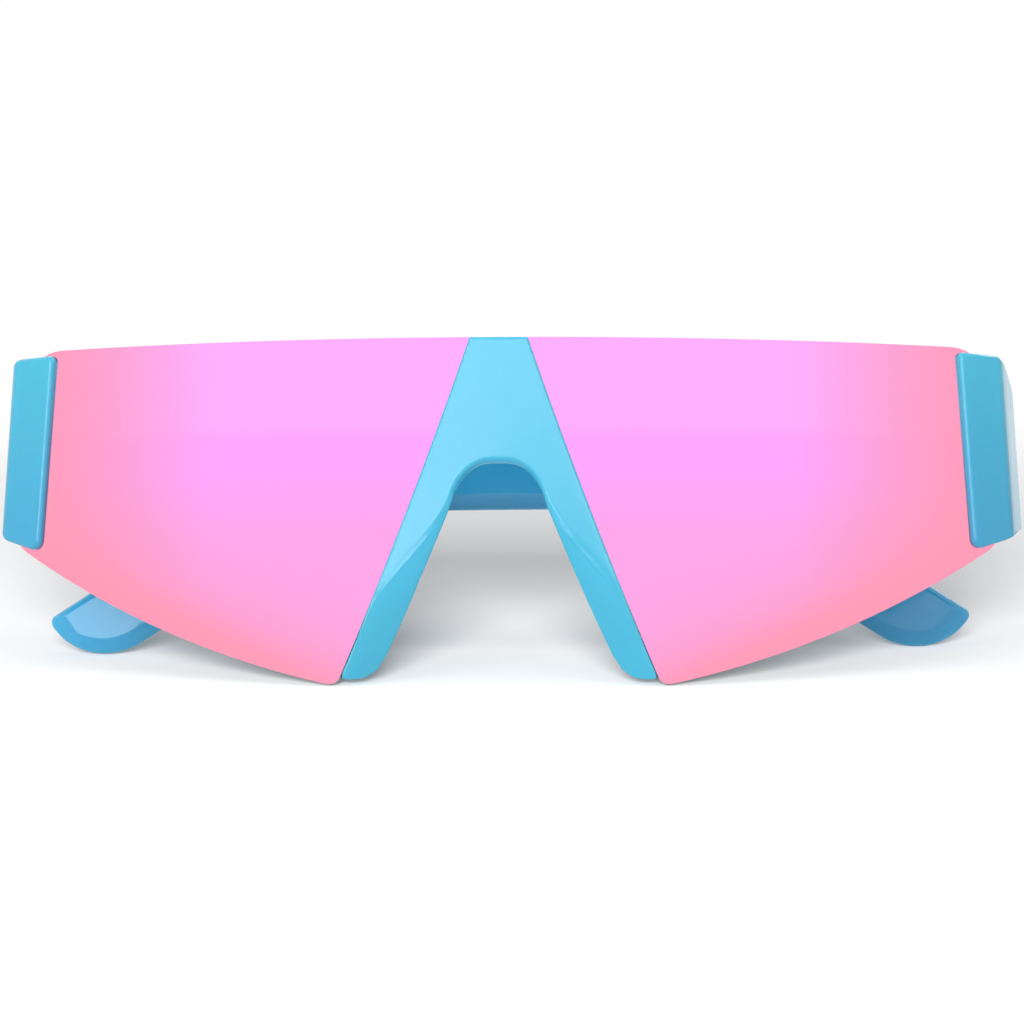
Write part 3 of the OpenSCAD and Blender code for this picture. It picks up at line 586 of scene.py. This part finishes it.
def roundCorner(bm, corner, facing, flip):
    # rounds an outer corner of the block in small flat cuts that follow its flare
    flare, lean = math.radians(block["flare"]), math.radians(block["lean"])
    outward = Vector((math.cos(flare), -math.sin(flare), math.sin(lean))).normalized()
    middle = Vector(corner) - (outward + facing) * block["cornerRound"] / (1 + outward.dot(facing))
    for i in range(1, block["cornerSteps"]):
        cut = outward.slerp(facing, i / block["cornerSteps"])
        bmesh.ops.bisect_plane(bm, geom=bm.verts[:] + bm.edges[:] + bm.faces[:], dist=1e-7, clear_outer=True,
                               plane_co=(middle + cut * block["cornerRound"]) * flip * mm, plane_no=cut * flip)
        bmesh.ops.holes_fill(bm, edges=[e for e in bm.edges if e.is_boundary], sides=0)


def makeEndBlock(side):
    # the cap over the lens end keeps its crisp mould edges
    bm = bmesh.new()
    bm.from_mesh(frame["nodes"]["end_block_" + side].data)
    bmesh.ops.remove_doubles(bm, verts=bm.verts, dist=1e-6)
    bm.transform(stand.inverted())
    for corner, facing in block["corners"]:
        roundCorner(bm, corner, Vector(facing), Vector((1 if side == "left" else -1, 1, 1)))
    bm.transform(stand)
    bmesh.ops.dissolve_limit(bm, angle_limit=math.radians(0.5), verts=bm.verts, edges=bm.edges)
    piece = newPiece("endBlock" + side.capitalize(), bm, blueCap, False, 50)
    normals = piece.modifiers.new("shading", "WEIGHTED_NORMAL")
    normals.keep_sharp = True
    piece.visible_glossy = False  # no dark ghost of its wall in the mirror
    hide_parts("end_block_" + side)
    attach(piece, "front")
    return piece


for side in ("left", "right"):
    makeEndBlock(side)
print("end blocks made")


temple = dict(length=148.0, straight=82.5, bendRadius=45.0, hookAngle=33.0, rootHeight=21.0, midHeight=14.8,
              waistHeight=10.0, tipHeight=10.6, rootThick=3.3, tipThick=2.8, bevelLow=2.2, bevelTop=1.0,
              bevelDepth=1.3, edgeRound=0.7, tipCorner=1.2, tipRoundLength=10.2, tipRoundHeight=9.5, endBevel=3.2,
              butt=0.3, lean=3.4, straightSteps=24, hookSteps=20, endSteps=8, tipSteps=28, tipStart=0.01,
              bevelShare=0.42, edgeShare=0.4, leastSlope=0.04, edgeTurns=[0, 18, 36, 54, 72, 90],
              shares=[0, 0.17, 0.4, 0.5, 0.58, 0.78, 0.91, 1],
              bevel=[(0, 1.12), (0, 1.03), (0.03, 0.93), (0.14, 0.72), (0.36, 0.42), (0.64, 0.17), (0.86, 0.04),
                     (1.03, 0)])
folds = {"left": dict(angle=92.2, tilt=0.0, mirror=1), "right": dict(angle=88.6, tilt=0.56, mirror=-1)}


def templeRings():
    # cross-sections from the butt along the straight run, round the bend and down the hook to the tip
    t = temple
    heights = [t["rootHeight"], mix(t["rootHeight"], t["midHeight"], 0.5), t["midHeight"], t["midHeight"],
               t["midHeight"], t["waistHeight"], t["tipHeight"], t["tipHeight"]]
    knots = [(s * t["length"], h / 2) for s, h in zip(t["shares"], heights)]
    hook = math.radians(t["hookAngle"])
    hookLength = t["bendRadius"] * hook
    hookStart = t["straight"] + hookLength
    straightDown = Vector((math.cos(hook), -math.sin(hook)))
    foot = Vector((t["straight"] + t["bendRadius"] * math.sin(hook), t["bendRadius"] * (math.cos(hook) - 1)))

    def turned(s):
        return min(max((s - t["straight"]) / hookLength, 0), 1) * hook

    def middle(s):
        if s <= t["straight"]:
            return Vector((s, 0))
        if s >= hookStart:
            return foot + (s - hookStart) * straightDown
        a = turned(s)
        return Vector((t["straight"] + t["bendRadius"] * math.sin(a), t["bendRadius"] * (math.cos(a) - 1)))

    def trim(d, length, height):
        return height * (1 - math.sqrt(max(1 - ((length - d) / length) ** 2, 0))) if d < length else 0

    def spread(d, length):
        if d >= length:
            return 1
        return 1 / math.sqrt(max(1 - ((length - d) / length) ** 2, t["leastSlope"]))

    def fromTip(i):
        return t["tipRoundLength"] * (1 - math.sin(math.radians(90 * i / t["tipSteps"])))

    rings = []
    stations = [t["butt"] / 2]
    stations += [t["straight"] * i / t["straightSteps"] for i in range(1, t["straightSteps"] + 1)]
    stations += [t["straight"] + hookLength * i / t["hookSteps"] for i in range(1, t["hookSteps"] + 1)]
    stations += [mix(hookStart, t["length"] - t["tipRoundLength"], i / t["endSteps"])
                 for i in range(1, t["endSteps"])]
    stations += [t["length"] - max(fromTip(i), t["tipCorner"] * t["tipStart"]) for i in range(t["tipSteps"] + 1)]
    for s in stations:
        d = t["length"] - s
        centre, a = middle(s), turned(s)
        up = Vector((math.sin(a), math.cos(a)))
        half = through(knots, s)
        top = half - trim(d, t["tipCorner"], t["tipCorner"])
        low = half - trim(d, t["tipRoundLength"], t["tipRoundHeight"])
        tall = top + low
        thick = mix(t["rootThick"], t["tipThick"], s / t["length"])
        near = min(d / t["endBevel"], 1)
        sink = t["bevelDepth"] * (1 - near) ** 2
        bt = min(t["bevelTop"] * spread(d, t["tipCorner"]), tall * t["bevelShare"])
        bl = min(t["bevelLow"] * spread(d, t["tipRoundLength"]), tall * t["bevelShare"])
        er = min(t["edgeRound"], tall * t["edgeShare"])
        leanOut = math.tan(math.radians(t["lean"])) * (1 - min(s / (t["straight"] / 2), 1))
        # the inner face with its two bevels, then the outer face with its two round edges
        inner = [(min(math.hypot(sink, t["bevelDepth"] * share), thick * 0.5), rise) for share, rise in t["bevel"]]
        angles = [math.radians(e) for e in t["edgeTurns"]]
        outer = [(thick - er * (1 - math.sin(e)), er * (1 - math.cos(e))) for e in angles]
        profile = [(out, top - bt * rise) for out, rise in inner]
        profile += [(out, top - rise) for out, rise in outer]
        profile += [(out, -low + rise) for out, rise in reversed(outer)]
        profile += [(out, -low + bl * rise) for out, rise in reversed(inner)]
        ring = []
        for out, height in profile:
            q = centre + height * up
            ring.append((out - (leanOut * height * 0.5 if out > thick / 2 else 0), q.x, q.y))
        rings.append(ring)
    return rings


def makeTemple(side):
    fold = folds[side]
    pinX = hingePlace["frontWidth"] / 2 - hingePlace["lugWall"] - hingePlace["pinInset"]
    place = (Matrix.Translation((pinX, hingePlace["back"], hingePlace["middleHeight"]))
             @ Matrix.Rotation(math.radians(fold["tilt"]), 4, "Y")
             @ Matrix.Rotation(math.radians(fold["angle"]), 4, "Z")
             @ Matrix.Translation((hingePlace["pinInset"], 0, 0)))
    rings = []
    for ring in templeRings():
        placed = [place @ Vector(p) for p in ring]
        rings.append([Vector((p.x * fold["mirror"], p.y, p.z)) * mm for p in placed])
    piece = newPiece("temple" + side.capitalize(), loft(rings), shadeBlueTemple)
    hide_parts("temple_" + side)
    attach(piece, "temple_" + side)
    return piece


for side in ("left", "right"):
    makeTemple(side)
print("temples made")


hingeLooks = {"hinge_front_leaf_": (hingeSteel, 0.12), "hinge_temple_leaf_": (hingeSteel, 0.12),
              "hinge_screw_": (screwSteel, 0.06)}
for side in ("left", "right"):
    for kind, (material, rounding) in hingeLooks.items():
        node = frame["nodes"][kind + side]
        node.data.materials.clear()
        node.data.materials.append(material)
        weld = node.modifiers.new("weld", "WELD")
        weld.merge_threshold = 1e-6
        addBevel(node, rounding, 2, 40)
print("hinges finished")


def seenRays(tree):
    # camera, mirror and see-through rays, which show the backdrop as plain white
    rays = tree.nodes.new("ShaderNodeLightPath")
    direct = math2(tree, "MAXIMUM", rays.outputs["Is Camera Ray"], rays.outputs["Is Glossy Ray"])
    return math2(tree, "MAXIMUM", direct, rays.outputs["Is Transmission Ray"])


floor = dict(colour=0.50, bounce=0.32, glow=0.05, fadeFrom=0.18, fadeTo=0.46, halfSize=6.0)


def makeFloor():
    # a pale floor that fades to the white backdrop, and throws less light back than it shows
    bm = bmesh.new()
    bmesh.ops.create_grid(bm, x_segments=8, y_segments=8, size=floor["halfSize"])
    piece = newPiece("floor", bm, [], False)
    material = bpy.data.materials.new("paleFloor")
    material.use_nodes = True
    tree = material.node_tree
    tree.nodes.clear()
    seen = seenRays(tree)
    paint = tree.nodes.new("ShaderNodeBsdfDiffuse")
    lift = math2(tree, "MULTIPLY", seen, floor["colour"] - floor["bounce"])
    tree.links.new(math2(tree, "ADD", lift, floor["bounce"]), paint.inputs["Color"])
    glow = addNode(tree, "ShaderNodeEmission", Color=(1, 1, 1, 1))
    tree.links.new(math2(tree, "MULTIPLY", seen, floor["glow"]), glow.inputs["Strength"])
    near = tree.nodes.new("ShaderNodeAddShader")
    tree.links.new(paint.outputs[0], near.inputs[0])
    tree.links.new(glow.outputs[0], near.inputs[1])
    white = addNode(tree, "ShaderNodeEmission", Color=(1, 1, 1, 1), Strength=1.0)
    away = tree.nodes.new("ShaderNodeVectorMath")
    away.operation = "LENGTH"
    tree.links.new(tree.nodes.new("ShaderNodeTexCoord").outputs["Object"], away.inputs[0])
    fade = tree.nodes.new("ShaderNodeMapRange")
    fade.interpolation_type = "SMOOTHSTEP"
    fade.inputs["From Min"].default_value = floor["fadeFrom"]
    fade.inputs["From Max"].default_value = floor["fadeTo"]
    tree.links.new(away.outputs["Value"], fade.inputs["Value"])
    both = tree.nodes.new("ShaderNodeMixShader")
    tree.links.new(math2(tree, "MULTIPLY", seen, fade.outputs["Result"]), both.inputs[0])
    tree.links.new(near.outputs[0], both.inputs[1])
    tree.links.new(white.outputs[0], both.inputs[2])
    out = tree.nodes.new("ShaderNodeOutputMaterial")
    tree.links.new(both.outputs[0], out.inputs["Surface"])
    piece.data.materials.append(material)
    return piece


room = dict(colour=(0.90, 0.95, 1.0, 1), strength=0.48, lampTarget=(0, 0, 0.03))
# lamps that reach "sheen" only draw reflections on the blue plastic, and "floor" lights the floor alone
lights = {
    "overhead": dict(place=(0.0, -0.50, 1.15), size=(1.8, 1.2), power=7.5, reach="all"),
    "window": dict(place=(-0.68, -1.45, 0.58), size=(1.0, 0.8), power=10.0, reach="all"),
    "softbox": dict(place=(-0.06, -1.44, 0.54), size=(1.9, 0.36), power=7.1, reach="sheen"),
    "lowSoftbox": dict(place=(-0.46, -1.46, 0.24), size=(0.8, 0.28), power=2.8, reach="sheen"),
    "rearStrip": dict(place=(0.35, 1.35, 0.75), size=(1.4, 0.22), power=4.0, reach="sheen"),
    "topStrip": dict(place=(0.0, 0.35, 1.35), size=(1.5, 0.25), power=4.0, reach="sheen"),
    "floorLamp": dict(place=(0.0, -1.9, 0.42), size=(0.6, 0.5), power=200.0, reach="floor"),
}


def makeLights(ground):
    world = bpy.data.worlds.new("studio")
    bpy.context.scene.world = world
    world.use_nodes = True
    tree = world.node_tree
    tree.nodes.clear()
    air = addNode(tree, "ShaderNodeBackground", Color=room["colour"], Strength=room["strength"])
    white = addNode(tree, "ShaderNodeBackground", Color=(1, 1, 1, 1), Strength=1.0)
    both = tree.nodes.new("ShaderNodeMixShader")
    tree.links.new(seenRays(tree), both.inputs[0])
    tree.links.new(air.outputs[0], both.inputs[1])
    tree.links.new(white.outputs[0], both.inputs[2])
    out = tree.nodes.new("ShaderNodeOutputWorld")
    tree.links.new(both.outputs[0], out.inputs["Surface"])
    groups = {"sheen": bpy.data.collections.new("bluePlastic"),
              "floor": bpy.data.collections.new("floorOnly")}
    groups["floor"].objects.link(ground)
    blues = (blueFrame, shadeBlueTemple, blueCap)
    for piece in bpy.data.objects:
        if piece.type == "MESH" and piece.data.materials and piece.data.materials[0] in blues:
            groups["sheen"].objects.link(piece)
    for name, spec in lights.items():
        lamp = bpy.data.lights.new(name, "AREA")
        lamp.shape = "RECTANGLE"
        lamp.size, lamp.size_y = spec["size"]
        lamp.energy = spec["power"]
        lampObject = bpy.data.objects.new(name, lamp)
        bpy.context.scene.collection.objects.link(lampObject)
        lampObject.location = spec["place"]
        aim = Vector(room["lampTarget"]) - Vector(spec["place"])
        lampObject.rotation_euler = aim.to_track_quat("-Z", "Y").to_euler()
        lampObject.visible_camera = False
        lampObject.visible_glossy = spec["reach"] == "sheen"
        lampObject.visible_diffuse = spec["reach"] != "sheen"
        if spec["reach"] in groups:
            lampObject.light_linking.receiver_collection = groups[spec["reach"]]


# the photo's camera, in the frame of the glasses as worn
camera = dict(target=(1.5, 10.0, -24.75), distance=600.0, azimuth=2.7, elevation=-3.8, roll=0.05, focal=143.7,
              sensor=36, clip=(0.01, 50))


def makeCamera():
    a, e = math.radians(camera["azimuth"]), math.radians(camera["elevation"])
    back = Vector((math.sin(a) * math.cos(e), -math.cos(a) * math.cos(e), math.sin(e)))
    right = (-back).cross(Vector((0, 0, 1))).normalized()
    up = right.cross(-back)
    roll = math.radians(camera["roll"])
    right, up = right * math.cos(roll) + up * math.sin(roll), -right * math.sin(roll) + up * math.cos(roll)
    place = (Vector(camera["target"]) + back * camera["distance"]) * mm
    turn = stand.to_3x3()
    axes = Matrix((turn @ right, turn @ up, turn @ back)).transposed()
    cam = bpy.data.objects.new("camera", bpy.data.cameras.new("camera"))
    bpy.context.scene.collection.objects.link(cam)
    cam.matrix_world = Matrix.Translation(stand @ place) @ axes.to_4x4()
    cam.data.sensor_width = camera["sensor"]
    cam.data.lens = camera["focal"]
    cam.data.clip_start, cam.data.clip_end = camera["clip"]
    bpy.context.scene.camera = cam


makeLights(makeFloor())
makeCamera()
bpy.context.scene.view_settings.view_transform = "Standard"
print("stage made")
